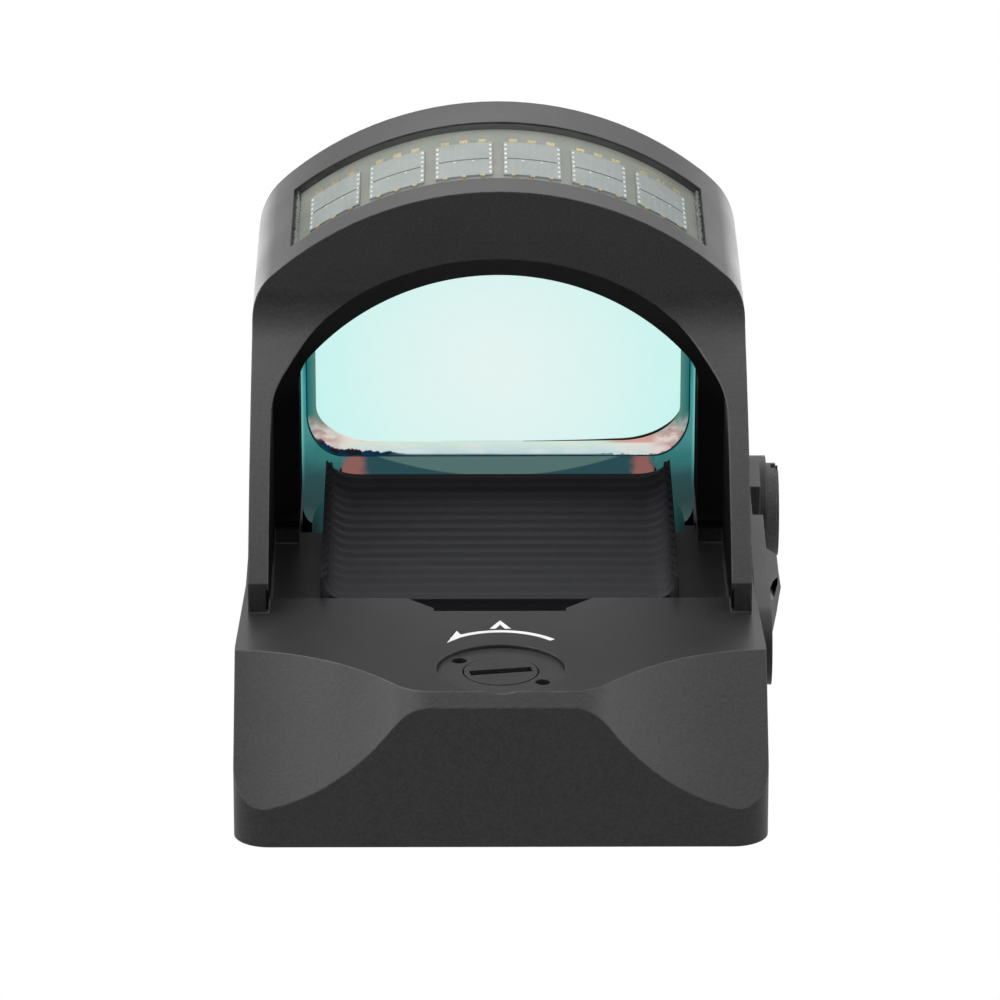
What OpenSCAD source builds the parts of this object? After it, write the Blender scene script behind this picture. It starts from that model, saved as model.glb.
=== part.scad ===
// Open reflex red dot finder: hooded housing, coated lens, screw-steered emitter,
// solar roof panel, push buttons and a side battery tray.
// Millimetres. X right, Y towards the target, Z up.
// Origin: centre of the underside of the base.

/* [Body] */
// Overall length along Y
body_len = 45.2; // [44:0.1:50]
// Half width of the base at the rear
rear_hw = 14.85; // [14.8:0.05:16]
// Half width of the base at the front
base_hw = 14.5; // [14.4:0.05:14.5]
// Half width of the hood
hood_hw = 14.25; // [14.1:0.05:14.4]
// Height of the flat rear deck
deck_z = 9.0; // [8.9:0.1:9.4]
// Plan radius of the base corners
corner_r = 2.0; // [1:0.1:3]

/* [Hood] */
// Height of the top of the hood
top_z = 29.2; // [29:0.1:31]
// Radius of the hood's top arch
arch_r = 19.5; // [19:0.1:24]
// Radius of the hood's shoulders
shoulder_r = 3.2; // [2:0.1:4]
// Y of the rear face of the roof
roof_y = 5.0; // [4.6:0.1:6]
// Y of the hood's rear foot
foot_y = -9.9; // [-10.4:0.1:-9.8]
// Radius of the sloping side edge
slope_r = 49.0; // [48:0.5:52]
// Height of the rear aperture
mouth_top = 25.1; // [25:0.1:25.4]
// Half width of the rear aperture
mouth_hw = 13.1; // [12.9:0.05:13.2]
// Height of the window arch
window_top = 23.5; // [23.2:0.1:23.8]
// Half width of the window arch
window_hw = 11.65; // [11.5:0.05:11.8]

/* [Lens] */
// Lens thickness along Y
lens_t = 2.6; // [2:0.1:2.8]
// Lean of the lens towards the eye, degrees
lens_tilt = 8; // [4:0.5:9]
// Radius of the two polished faces
lens_face_r = 90; // [70:5:200]

/* [Deck] */
// Radius of the corner scoops
scoop_r = 13.2; // [12:0.1:15]
// Depth of the corner scoops square to the rear edge
scoop_d = 4.92; // [4:0.02:5.1]
// Y of the elevation screw
elev_y = -18.4; // [-18.6:0.1:-18.2]
// Radius of the elevation retaining ring
elev_ring_r = 3.55; // [3.4:0.05:3.7]

/* [Windage] */
// Y of the windage screw
wind_y = -14.5; // [-14.6:0.1:-14.4]
// Height of the windage screw
wind_z = 4.8; // [4.7:0.1:4.9]

/* [Battery] */
// Coin cell diameter
cell_d = 16.0; // [16:0.1:16]
// Coin cell thickness
cell_t = 3.2; // [3.2:0.1:3.2]
// Y of the cell centre
cell_y = 1.6; // [1.5:0.05:1.7]
// Height of the tray screw
tray_screw_z = 5.9; // [5.7:0.1:6]
// Y of the tray screw
tray_screw_y = 15.0; // [14.9:0.1:15.1]

/* [Buttons] */
// Length of each brightness button along Y
button_len = 6.0; // [5:0.1:6.4]
// Height of each brightness button
button_h = 3.0; // [2.6:0.1:3.1]

/* [Solar panel] */
// Rear edge of the panel recess
solar_y0 = 7.6; // [7.2:0.1:8]
// Front edge of the panel recess
solar_y1 = 18.5; // [18:0.1:18.8]
// Cells across the roof
solar_cells_n = 6; // [4:1:8]

/* [Mounting] */
// Spacing of the two mounting holes along X
mount_pitch = 18.3; // [18.2:0.05:18.4]
// Y of the two mounting holes
mount_y = 19.3; // [19.2:0.1:19.4]
// Radius of the mounting holes
mount_r = 1.8; // [1.7:0.05:1.9]

/* [Hidden] */
$fn = 64;
y0 = -body_len / 2;
y1 = body_len / 2;
arch_cz = top_z - arch_r;
// centre of the circle that draws the sloping side edge
slope_cy = 25.8;
slope_cz = -22.8;
slope_fillet = 3.5;
fillet_y = roof_y - slope_fillet;
fillet_z = slope_cz + sqrt(pow(slope_r + slope_fillet, 2) - pow(slope_cy - fillet_y, 2));
fillet_k = slope_r / (slope_r + slope_fillet);
// interior of the optical tunnel
mouth_r = 16.4;
mouth_shoulder = 2.5;
window_r = 14.6;
window_shoulder = 2.5;
funnel_y = 6.8;
front_hw = 11.25;
front_top = 22.95;
lip_z = 7.6;
deck_front_y = -7.6;
// lens rear plane passes through (lens_y, lens_z)
lens_y = 13.0;
lens_z = 8.0;
lens_bottom = 4.6;
seal_t = 0.2;
// glare baffle
baffle_z = 7.6;
baffle_floor = 8.4;
baffle_hw = 10.6;
baffle_y0 = -6.3;
rib_n = 15;
// corner scoops
scoop_cx = 15.0;
scoop_cv = scoop_d - scoop_r;
bevel_d = 0.5;
blend_r = 3.0;
blend_x = scoop_cx - sqrt(pow(scoop_r + blend_r, 2) - pow(bevel_d + blend_r - scoop_cv, 2));
blend_k = blend_r / (scoop_r + blend_r);
blend_px = blend_x + blend_k * (scoop_cx - blend_x);
blend_pv = bevel_d + blend_r + blend_k * (scoop_cv - bevel_d - blend_r);
// shared fits
slip = 0.04;
gap = 0.05;
// bottom recess
cover_hw = 13.2;
cover_y0 = -21.6;
cover_y1 = 14.2;
cover_t = 0.8;
gasket_t = 0.2;
cover_z0 = 0.05;
recess_z = cover_z0 + cover_t + gasket_t;
cover_screws_at = [[10.5, -18.6], [-10.5, -18.6], [10.5, 12.6], [-10.5, 12.6]];
// mechanism cavity
mech_hw = 4.6;
mech_y0 = -21.2;
mech_y1 = -9.55;
mech_top = 6.2;
nose_y = -13.0;
nose_top = 8.4;
// battery compartment
bay_y0 = -7.25;
bay_y1 = 10.45;
bay_top = 7.3;
bay_hw = 12.6;
bay_r = 1.5;
tray_z0 = 3.45;
tray_floor = 0.3;
cell_z0 = tray_z0 + tray_floor;
plate_x0 = 14.62;
plate_x1 = 15.55;
ridge_x = 16.55;
boss_x = 16.0;
head_x = 16.75;
boss_r = 3.3;
plate_y = -5.6;
plate_z = 5.4;
plate_r = 2.35;
// electronics
board_hw = 9.4;
board_z = 1.1;
board_t = 0.8;
chip_z = board_z + board_t;
// buttons
button_z = 3.6;
button_ys = [-3.0, 6.0];
// solar stack, radii from the arch centre
solar_half_angle = 38.0;
solar_depth = 0.95;

// arrow marked on the deck
arrow_r = 3.83;
arrow_cy = -16.68;

// ---- helpers -------------------------------------------------------------

// 2D drawn as (x, z), solid from ya to yb
module along_y(ya, yb) translate([0, yb, 0]) rotate([90, 0, 0]) linear_extrude(yb - ya) children();

// 2D drawn as (y, z), solid from xa to xb
module along_x(xa, xb) translate([xa, 0, 0]) rotate([90, 0, 90]) linear_extrude(xb - xa) children();

module rect2(xa, xb, ya, yb) translate([xa, ya]) square([xb - xa, yb - ya]);

module box3(xa, xb, ya, yb, za, zb) translate([xa, ya, za]) cube([xb - xa, yb - ya, zb - za]);

module peg_z(x, y, za, zb, r) translate([x, y, za]) cylinder(h = zb - za, r = r);

module peg_x(xa, xb, y, z, r) translate([xa, y, z]) rotate([0, 90, 0]) cylinder(h = xb - xa, r = r);

module round_rect(xa, xb, ya, yb, r) {
    rect2(xa + r, xb - r, ya, yb);
    rect2(xa, xb, ya + r, yb - r);
    for (x = [xa + r, xb - r], y = [ya + r, yb - r]) translate([x, y]) circle(r);
}

// Arch outline: top arc, tangent shoulder arcs, straight sides down to the bottom
module arch(hw, top, r_top, r_side, bottom) {
    cz = top - r_top;
    xc = hw - r_side;
    zs = cz + sqrt(pow(r_top - r_side, 2) - xc * xc);
    xt = xc * r_top / (r_top - r_side);
    intersection() {
        translate([0, cz]) circle(r_top, $fn = 180);
        rect2(-xt, xt, bottom, top + 1);
    }
    for (s = [-1, 1]) translate([s * xc, zs]) circle(r_side);
    rect2(-hw, hw, bottom, zs);
}

module slotted_recess(r, w, depth) translate([-r, -w / 2, -depth]) cube([2 * r, w, depth + 1]);

// Ring sector about the arch centre, drawn as (x, z)
module arc_band(ra, rb, half) {
    reach = rb / cos(half);
    intersection() {
        difference() {
            translate([0, arch_cz]) circle(rb, $fn = 180);
            translate([0, arch_cz]) circle(ra, $fn = 180);
        }
        translate([0, arch_cz]) polygon([[0, 0], [reach * sin(half), reach * cos(half)],
            [0, reach + 1], [-reach * sin(half), reach * cos(half)]]);
    }
}

// ---- housing -------------------------------------------------------------

// Plan of the hood, with rounded front corners
module hood_plan() {
    rect2(-hood_hw - 1, hood_hw + 1, foot_y - 1, y1 - corner_r);
    rect2(-hood_hw + corner_r, hood_hw - corner_r, foot_y, y1);
    for (s = [-1, 1]) translate([s * (hood_hw - corner_r), y1 - corner_r]) circle(corner_r);
}

module base_plan() {
    polygon([[-rear_hw, y0 + corner_r], [rear_hw, y0 + corner_r], [rear_hw, -15],
        [base_hw, -5.5], [base_hw, y1 - corner_r], [-base_hw, y1 - corner_r],
        [-base_hw, -5.5], [-rear_hw, -15]]);
    rect2(-rear_hw + corner_r, rear_hw - corner_r, y0, y0 + corner_r + 1);
    rect2(-base_hw + corner_r, base_hw - corner_r, y1 - corner_r - 1, y1);
    for (s = [-1, 1]) {
        translate([s * (rear_hw - corner_r), y0 + corner_r]) circle(corner_r);
        translate([s * (base_hw - corner_r), y1 - corner_r]) circle(corner_r);
    }
}

// Side view of the hood, drawn as (y, z)
module hood_side() {
    intersection() {
        translate([slope_cy, slope_cz]) circle(slope_r, $fn = 360);
        rect2(foot_y, roof_y + 1, 6, 22);
    }
    rect2(roof_y, y1, 6, top_z + 1);
    difference() {
        polygon([[roof_y + 0.5, fillet_z], [fillet_y, fillet_z],
            [slope_cy + (fillet_y - slope_cy) * fillet_k, slope_cz + (fillet_z - slope_cz) * fillet_k],
            [roof_y + 0.5, 21]]);
        translate([fillet_y, fillet_z]) circle(slope_fillet);
    }
}

module scoop_profile() {
    rect2(-18, 18, -12, bevel_d);
    for (s = [0, 1]) mirror([s, 0]) {
        translate([scoop_cx, scoop_cv]) circle(scoop_r, $fn = 180);
        difference() {
            polygon([[blend_x, 0], [blend_x, bevel_d], [blend_px, blend_pv],
                [blend_px + 1, 0]]);
            translate([blend_x, bevel_d + blend_r]) circle(blend_r);
        }
    }
}

module tunnel() {
    along_y(foot_y - 1, roof_y) arch(mouth_hw, mouth_top, mouth_r, mouth_shoulder, deck_z);
    hull() {
        along_y(roof_y - 0.1, roof_y) arch(mouth_hw, mouth_top, mouth_r, mouth_shoulder, deck_z);
        along_y(funnel_y, funnel_y + 0.1)
            arch(window_hw, window_top, window_r, window_shoulder, deck_z);
    }
    intersection() {
        along_y(funnel_y, y1) arch(window_hw, window_top, window_r, window_shoulder, lens_bottom - seal_t);
        behind_lens(lens_t);
        box3(-20, 20, 0, 30, lens_bottom - seal_t, 30);
    }
    along_y(lens_y, y1 + 1) front_outline();
}

// Front opening with rounded lower corners
module front_outline() {
    intersection() {
        arch(front_hw, front_top, window_r, window_shoulder, lip_z);
        round_rect(-front_hw, front_hw, lip_z, front_top + 8, 3);
    }
}

// Everything behind the plane that lies t in front of the lens's rear plane
module behind_lens(t) translate([0, lens_y + t, lens_z]) rotate([lens_tilt, 0, 0])
    translate([-30, -60, -30]) cube([60, 60, 60]);

module well() {
    box3(-mouth_hw, mouth_hw, deck_front_y, roof_y, baffle_z, deck_z + 1);
    // side pockets either side of the baffle
    for (s = [0, 1]) mirror([s, 0, 0])
        box3(baffle_hw + 0.1, window_hw, bay_y1 + 0.3, lens_y + 0.4, lens_bottom - seal_t, deck_z);
    box3(-window_hw, window_hw, roof_y - 1, lens_y, baffle_z, deck_z + 1);
    // trapezoid notch that the baffle's tongue fills
    translate([0, 0, baffle_z - 0.1]) linear_extrude(3)
        polygon([[-5.4, deck_front_y + 0.1], [-3.75, -9.2], [3.75, -9.2], [5.4, deck_front_y + 0.1]]);
    // emitter's view into the tunnel
    box3(-3.75, 3.75, mech_y1 - 0.1, -9.1, baffle_z - 0.1, deck_z + 1);
}

module mechanism_cavity() {
    box3(-mech_hw, mech_hw, mech_y0, mech_y1, 0.5, mech_top);
    box3(-3.6, 3.6, nose_y, mech_y1, mech_top - 1, nose_top);
    // elevation screw: shaft, flange and ring seats
    peg_z(0, elev_y, mech_top - 1, deck_z, 1.3);
    peg_z(0, elev_y, 6.9, deck_z + 1, 2.84);
    peg_z(0, elev_y, 7.7, deck_z + 1, elev_ring_r + 0.02);
    // windage screw: shaft, flange and ring seats
    peg_x(mech_hw - 1, 16, wind_y, wind_z, 1.05);
    peg_x(12.6, 16, wind_y, wind_z, 2.14);
    peg_x(13.3, 16, wind_y, wind_z, 2.62);
}

module electronics_bay() {
    box3(-bay_hw, 10, bay_y0, bay_y1, 0.5, bay_top);
    box3(-board_hw, board_hw, bay_y0, bay_y1, 5, baffle_z + 0.1);
    // tray mouth through the right wall
    along_x(9, 16) tray_mouth(0);
    // tray screw thread
    peg_x(12.2, 16, tray_screw_y, tray_screw_z, 1.02);
    // button windows in the left wall
    for (y = button_ys) along_x(-16, -bay_hw + 0.1) button_outline(y, slip);
}

module tray_mouth(inset) round_rect(bay_y0 + inset, bay_y1 - inset,
    tray_z0 - gap + inset, bay_top - inset, bay_r - inset);

module button_outline(y, grow) round_rect(y - button_len / 2 - grow, y + button_len / 2 + grow,
    button_z - button_h / 2 - grow, button_z + button_h / 2 + grow, 1.2 + grow);

module housing() color([0.12, 0.12, 0.13]) difference() {
    union() {
        linear_extrude(deck_z) base_plan();
        intersection() {
            along_y(foot_y, y1) arch(hood_hw, top_z, arch_r, shoulder_r, 6);
            along_x(-20, 20) hood_side();
            linear_extrude(top_z + 1) hood_plan();
        }
    }
    translate([0, y0, deck_z]) rotate([-45, 0, 0]) translate([0, 0, -9])
        linear_extrude(18) scoop_profile();
    tunnel();
    well();
    mechanism_cavity();
    electronics_bay();
    // solar panel recess
    along_y(solar_y0, solar_y1) arc_band(arch_r - solar_depth, arch_r + 3, solar_half_angle + 0.4);
    // recess for the cover and its gasket, with screw holes
    translate([0, 0, -1]) linear_extrude(1 + recess_z)
        round_rect(-cover_hw - gap, cover_hw + gap, cover_y0 - gap, cover_y1 + gap, 1.5);
    for (p = cover_screws_at) peg_z(p[0], p[1], 0.5, 3.7, 0.82);
    // mounting holes with head seats
    for (s = [-1, 1]) {
        peg_z(s * mount_pitch / 2, mount_y, -1, lip_z + 1, mount_r);
        peg_z(s * mount_pitch / 2, mount_y, 3.4, lip_z + 1, 2.8);
    }
}

// ---- optics --------------------------------------------------------------

module lens_outline(grow) {
    intersection() {
        arch(window_hw - gap - seal_t + grow, window_top - gap - seal_t + grow, window_r - gap - seal_t + grow,
            window_shoulder - gap - seal_t + grow, lens_bottom - grow);
        round_rect(-window_hw, window_hw, lens_bottom - grow, 40, 1.5);
    }
}

module lens() color([0.75, 0.95, 0.92, 0.5]) intersection() {
    along_y(funnel_y, y1) lens_outline(0);
    behind_lens(lens_t - 0.02);
    translate([0, lens_y, 14]) rotate([lens_tilt, 0, 0]) difference() {
        translate([-30, -0.85, -30]) cube([60, 30, 60]);
        translate([0, -lens_face_r - 0.35, 0]) sphere(lens_face_r, $fn = 480);
    }
}

module lens_seal() color([0.05, 0.05, 0.05]) intersection() {
    along_y(funnel_y, y1) difference() {
        lens_outline(seal_t);
        lens_outline(0.01);
    }
    behind_lens(lens_t - 0.02);
    translate([0, lens_y + 0.5, lens_z]) rotate([lens_tilt, 0, 0])
        translate([-30, 0, -30]) cube([60, 60, 60]);
}

// ---- solar panel ---------------------------------------------------------

module solar_substrate() color([0.55, 0.58, 0.55])
    along_y(solar_y0 + 0.15, solar_y1 - 0.15)
        arc_band(arch_r - solar_depth + 0.02, arch_r - 0.43, solar_half_angle);

module solar_cells() color([0.32, 0.36, 0.44]) {
    pitch = 2 * (solar_half_angle - 2) / solar_cells_n;
    split = solar_y0 + 4.7;
    for (i = [0 : solar_cells_n - 1]) {
        a = (i + 0.5 - solar_cells_n / 2) * pitch;
        translate([0, 0, arch_cz]) rotate([0, a, 0]) translate([0, 0, -arch_cz])
            for (half = [[solar_y0 + 1.7, split - 0.1], [split + 0.1, solar_y1 - 3]])
                along_y(half[0], half[1]) arc_band(arch_r - 0.42, arch_r - 0.3, pitch * 0.417);
    }
}

module solar_window() color([0.8, 0.85, 0.8, 0.35])
    along_y(solar_y0 + 0.15, solar_y1 - 0.15)
        arc_band(arch_r - 0.29, arch_r - 0.06, solar_half_angle);

// ---- elevation -----------------------------------------------------------

module deck_arrow() color([0.95, 0.95, 0.95]) translate([0, 0, deck_z + 0.001]) linear_extrude(0.02) {
    intersection() {
        difference() {
            translate([0, arrow_cy]) circle(arrow_r + 0.17);
            translate([0, arrow_cy]) circle(arrow_r - 0.17);
        }
        translate([0, arrow_cy]) polygon([[0, 0], [-3.3, 3.3], [0, 6], [3.4, 2.9]]);
    }
    // one-sided head, its barb pointing to the front
    translate([0, arrow_cy + arrow_r]) polygon([[-3.0, -1.78], [-2.3, -1.0], [-2.22, -0.5], [-2.45, 0.08]]);
    // plain up marker
    translate([0, -12.45]) polygon([[-0.6, 0], [0, 1.3], [0.6, 0], [0.27, 0], [0, 0.62], [-0.27, 0]]);
}

module elevation_screw() color([0.16, 0.16, 0.17]) translate([0, elev_y, 0]) difference() {
    union() {
        peg_z(0, 0, 7.0, 8.82, 2.05);
        peg_z(0, 0, 6.92, 7.66, 2.8);
        peg_z(0, 0, 1.3, 7.0, 1.24);
    }
    translate([0, 0, 8.82]) rotate(10.1) slotted_recess(1.75, 0.72, 0.7);
}

module elevation_ring() color([0.14, 0.14, 0.15]) translate([0, elev_y, 0]) difference() {
    peg_z(0, 0, 7.71, 8.8, elev_ring_r);
    peg_z(0, 0, 7, 9, 2.14);
    for (p = [[-2.31, 1.62], [2.31, -1.62]]) peg_z(p[0], p[1], 7.9, 9, 0.43);
}

module elevation_carriage() color([0.55, 0.57, 0.6]) {
    difference() {
        union() {
            box3(-4.5, 4.5, -21.1, -16.3, 2.4, 5.2);
            box3(-4.5, 4.5, -16.4, -9.75, 2.4, 3.0);
            // rails the emitter carrier slides between
            box3(-4.5, 4.5, -10.05, -9.75, 2.9, 3.9);
            box3(-4.5, 4.5, -13.05, -12.85, 2.9, 3.5);
        }
        peg_z(0, elev_y, 2, 6, 1.28);
    }
}

module elevation_spring() color([0.7, 0.7, 0.68]) translate([0, elev_y, 1.08])
    for (k = [0, 1, 2]) translate([0, 0, k * 0.45]) rotate_extrude()
        translate([1.85, 0.19]) circle(0.19, $fn = 16);

// ---- emitter and windage -------------------------------------------------

module emitter_carrier() color([0.2, 0.2, 0.22]) difference() {
    union() {
        box3(-2.6, 2.6, -12.78, -10.12, 3.02, 7.0);
        box3(-1.4, 1.4, -12.0, -10.4, 6.9, 7.9);
    }
    // upright groove for the windage fork
    box3(-0.5 - slip, 0.5 + slip, -13, -12.0, 3.0, 6.6);
}

module led_emitter() color([0.85, 0.25, 0.2]) {
    box3(-0.6, 0.6, -10.38, -10.15, 7.25, 7.85);
    translate([0, -10.15, 7.55]) sphere(0.24);
}

module emitter_window() color([0.08, 0.08, 0.1])
    box3(-3.7, 3.7, mech_y1 + 0.02, -9.22, baffle_z - 0.05, deck_z - 0.25);

module windage_screw() color([0.16, 0.16, 0.17]) difference() {
    union() {
        peg_x(12.7, 14.6, wind_y, wind_z, 1.7);
        peg_x(12.64, 13.26, wind_y, wind_z, 2.1);
        peg_x(-3.4, 12.7, wind_y, wind_z, 0.98);
    }
    translate([14.6, wind_y, wind_z]) rotate([0, 90, 0]) slotted_recess(1.6, 0.45, 0.6);
}

module windage_ring() color([0.14, 0.14, 0.15]) difference() {
    peg_x(13.3, 14.65, wind_y, wind_z, 2.6);
    peg_x(13, 15, wind_y, wind_z, 1.74);
    for (s = [-1, 1]) peg_x(13.6, 15, wind_y + s * 2.16, wind_z, 0.26);
}

module windage_slider() color([0.55, 0.57, 0.6]) difference() {
    union() {
        box3(-2.0, 2.0, -15.95, -13.2, 3.5, mech_top - gap);
        box3(-0.5, 0.5, -13.3, -12.1, 4.1, 5.9);
    }
    peg_x(-3, 3, wind_y, wind_z, 1.02);
}

// ---- glare baffle and electronics ----------------------------------------

module glare_baffle() color([0.16, 0.16, 0.18]) {
    difference() {
        box3(-baffle_hw, baffle_hw, baffle_y0, lens_y - 0.35, baffle_z + 0.02, 9.9);
        box3(-baffle_hw + 1.3, baffle_hw - 1.3, baffle_y0 - 1, lens_y, baffle_floor, 11);
        for (s = [-1, 1]) box3(s > 0 ? 9.3 - 0.75 : -9.3 - 0.65, s > 0 ? 9.3 + 0.65 : -9.3 + 0.75,
            baffle_y0 - 1, lens_y, 9.0, 11);
    }
    // tongue reaching back into the notch
    translate([0, 0, baffle_z + 0.02]) linear_extrude(baffle_floor - baffle_z - 0.02)
        polygon([[-7.1, baffle_y0 + 0.1], [-7.1, -7.5], [-5.2, -7.56], [-3.9, -8.9],
            [3.9, -8.9], [5.2, -7.56], [7.1, -7.5], [7.1, baffle_y0 + 0.1]]);
    for (i = [0 : rib_n - 1]) {
        y = baffle_y0 + 0.4 + i * (lens_y - 0.9 - baffle_y0) / rib_n;
        box3(-9.2, 9.2, y, y + 0.5, baffle_floor - 0.1, baffle_floor + 0.3);
    }
}

module main_board() color([0.05, 0.28, 0.16])
    box3(-board_hw, board_hw, bay_y0 + 0.2, bay_y1 - 0.2, board_z, chip_z);

module board_chips() color([0.1, 0.1, 0.1]) {
    box3(-3.2, 0.4, 4.6, 8.2, chip_z, chip_z + 0.5);
    box3(3.0, 5.4, -4.0, -2.0, chip_z, chip_z + 0.45);
    box3(4.0, 6.4, 5.0, 8.0, chip_z, chip_z + 0.5);
    for (i = [0 : 5]) box3(-8.4 + i * 1.4, -7.6 + i * 1.4, -4.8, -4.3, chip_z, chip_z + 0.3);
}

// Leaf reaching from the button board over the cell
module contact_plus() color([0.85, 0.75, 0.45]) {
    box3(-9.68, -9.48, cell_y - 1, cell_y + 1, 6.0, cell_z0 + cell_t + 0.22);
    box3(-9.68, 1.4, cell_y - 1, cell_y + 1, cell_z0 + cell_t + 0.02, cell_z0 + cell_t + 0.22);
}

// Leaf rising from the main board to the underside of the cell
module contact_minus() color([0.85, 0.75, 0.45]) {
    box3(-5.0, 2.4, cell_y - 1.6, cell_y + 1.6, chip_z, chip_z + 0.2);
    box3(1.2, 1.45, cell_y - 0.8, cell_y + 0.8, chip_z, cell_z0 - 0.02);
    box3(1.2, 2.6, cell_y - 0.8, cell_y + 0.8, cell_z0 - 0.22, cell_z0 - 0.02);
}

// ---- battery tray --------------------------------------------------------

module battery() color([0.75, 0.75, 0.74]) {
    peg_z(0.4, cell_y, cell_z0 + 0.35, cell_z0 + cell_t, cell_d / 2);
    peg_z(0.4, cell_y, cell_z0, cell_z0 + 0.4, cell_d / 2 - 0.9);
}

module tray_side() {
    translate([plate_y, plate_z]) circle(plate_r);
    translate([tray_screw_y, tray_screw_z]) circle(boss_r);
    polygon([[plate_y, plate_z - plate_r], [plate_y, plate_z + plate_r],
        [tray_screw_y, tray_screw_z + boss_r], [tray_screw_y, tray_screw_z - boss_r]]);
}

module battery_tray() color([0.1, 0.1, 0.1]) difference() {
    union() {
        // cradle
        along_x(-8.2, 13.0) intersection() {
            tray_mouth(2 * gap);
            rect2(bay_y0, bay_y1, tray_z0 - 1, cell_z0 + cell_t - 0.1);
        }
        // plug that fills the mouth
        along_x(12.0, plate_x0 + 0.1) tray_mouth(gap);
        along_x(plate_x0, plate_x1) tray_side();
        // grip ridge with a sloping rear face and a blunt outer edge
        intersection() {
            linear_extrude(9) polygon([[plate_x0, -1.0], [plate_x1, -0.6],
                [ridge_x - 0.12, 4.1], [ridge_x, 4.6], [ridge_x - 0.12, 5.1], [plate_x0 + 0.3, 7.4]]);
            along_y(-2, 8) polygon([[plate_x0, 2.6], [15.7, 2.75], [16.25, 3.9], [ridge_x, 4.95],
                [16.42, 5.7], [16.3, 6.75], [plate_x0, 6.9]]);
        }
        peg_x(plate_x0, boss_x, tray_screw_y, tray_screw_z, boss_r);
    }
    peg_z(0.4, cell_y, cell_z0 - 0.01, 9, cell_d / 2 + 0.08);
    // open floor channel that clears the lower contact
    box3(-9, 5, cell_y - 2.3, cell_y + 2.3, 3, 8);
    // seal groove round the plug
    along_x(13.2, 13.9) difference() {
        tray_mouth(-1);
        tray_mouth(0.5);
    }
    // fingernail pocket in the ridge
    along_y(-2, 5) polygon([[15.1, 6.37], [15.4, 6.55], [15.95, 6.5], [16.27, 6.1], [16.3, 5.6],
        [16.05, 5.25], [15.75, 5.7]]);
    // finger notch
    along_x(plate_x0 + 0.3, ridge_x + 1) rect2(6.9, 10.9, 2, 10);
    peg_x(plate_x0 - 1, boss_x + 1, tray_screw_y, tray_screw_z, 1.02);
}

module tray_seal() color([0.05, 0.05, 0.05]) along_x(13.22, 13.88) difference() {
    tray_mouth(0.02);
    tray_mouth(0.48);
}

module tray_screw() color([0.2, 0.2, 0.21]) difference() {
    union() {
        peg_x(boss_x + 0.02, head_x - 0.15, tray_screw_y, tray_screw_z, 2.85);
        peg_x(boss_x + 0.1, head_x, tray_screw_y, tray_screw_z, 2.7);
        peg_x(12.4, boss_x + 0.1, tray_screw_y, tray_screw_z, 0.98);
    }
    translate([head_x, tray_screw_y, tray_screw_z]) rotate([0, 90, 0]) slotted_recess(3, 0.7, 0.45);
}

// ---- buttons -------------------------------------------------------------

module button_cap(y) {
    along_x(-14.4, -12.5) button_outline(y, 0);
    along_x(-12.55, -12.15) button_outline(y, 0.4);
}

module button_up() color([0.07, 0.07, 0.07]) {
    button_cap(button_ys[1]);
    box3(-14.55, -14.35, button_ys[1] - 0.75, button_ys[1] + 0.75, button_z - 0.15, button_z + 0.15);
    box3(-14.55, -14.35, button_ys[1] - 0.15, button_ys[1] + 0.15, button_z - 0.75, button_z + 0.75);
}

module button_down() color([0.07, 0.07, 0.07]) {
    button_cap(button_ys[0]);
    box3(-14.55, -14.35, button_ys[0] - 0.75, button_ys[0] + 0.75, button_z - 0.15, button_z + 0.15);
}

module button_board() color([0.05, 0.28, 0.16])
    box3(-10.2, -9.7, bay_y0 + 0.2, bay_y1 - 0.3, 1.2, bay_top - 0.1);

module button_switches() color([0.6, 0.6, 0.6]) for (y = button_ys) {
    box3(-11.1, -10.2, y - 1.6, y + 1.6, button_z - 1.4, button_z + 1.4);
    peg_x(-11.65, -11.1, y, button_z, 0.7);
}

// ---- underside -----------------------------------------------------------

module bottom_cover() color([0.1, 0.1, 0.1]) difference() {
    translate([0, 0, cover_z0]) linear_extrude(cover_t)
        round_rect(-cover_hw, cover_hw, cover_y0, cover_y1, 1.45);
    for (p = cover_screws_at) {
        peg_z(p[0], p[1], -1, 2, 0.9);
        translate([p[0], p[1], cover_z0]) cylinder(h = 0.6, r1 = 1.5, r2 = 0.9);
    }
}

module cover_gasket() color([0.05, 0.05, 0.05]) difference() {
    translate([0, 0, cover_z0 + cover_t]) linear_extrude(gasket_t) difference() {
        round_rect(-cover_hw, cover_hw, cover_y0, cover_y1, 1.45);
        rect2(-mech_hw - 0.2, mech_hw + 0.2, mech_y0 - 0.1, mech_y1 + 0.2);
        rect2(-bay_hw - 0.1, bay_hw + 0.1, bay_y0 - 0.2, bay_y1 + 0.2);
    }
    for (p = cover_screws_at) peg_z(p[0], p[1], 0, 2, 0.9);
}

module cover_screws() color([0.3, 0.3, 0.31]) for (p = cover_screws_at) translate([p[0], p[1], 0])
    difference() {
        union() {
            translate([0, 0, cover_z0 + 0.02]) cylinder(h = 0.58, r1 = 1.45, r2 = 0.8);
            peg_z(0, 0, 0.3, 3.5, 0.78);
        }
        for (a = [0, 90]) rotate(a) translate([-0.7, -0.13, -1]) cube([1.4, 0.26, 1.4]);
    }

// ---- drawing -------------------------------------------------------------

housing();
lens();
lens_seal();
solar_substrate();
solar_cells();
solar_window();
deck_arrow();
elevation_screw();
elevation_ring();
elevation_carriage();
elevation_spring();
emitter_carrier();
led_emitter();
emitter_window();
windage_screw();
windage_ring();
windage_slider();
glare_baffle();
main_board();
board_chips();
battery_tray();
tray_seal();
battery();
tray_screw();
contact_plus();
contact_minus();
button_up();
button_down();
button_board();
button_switches();
bottom_cover();
cover_gasket();
cover_screws();
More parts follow.
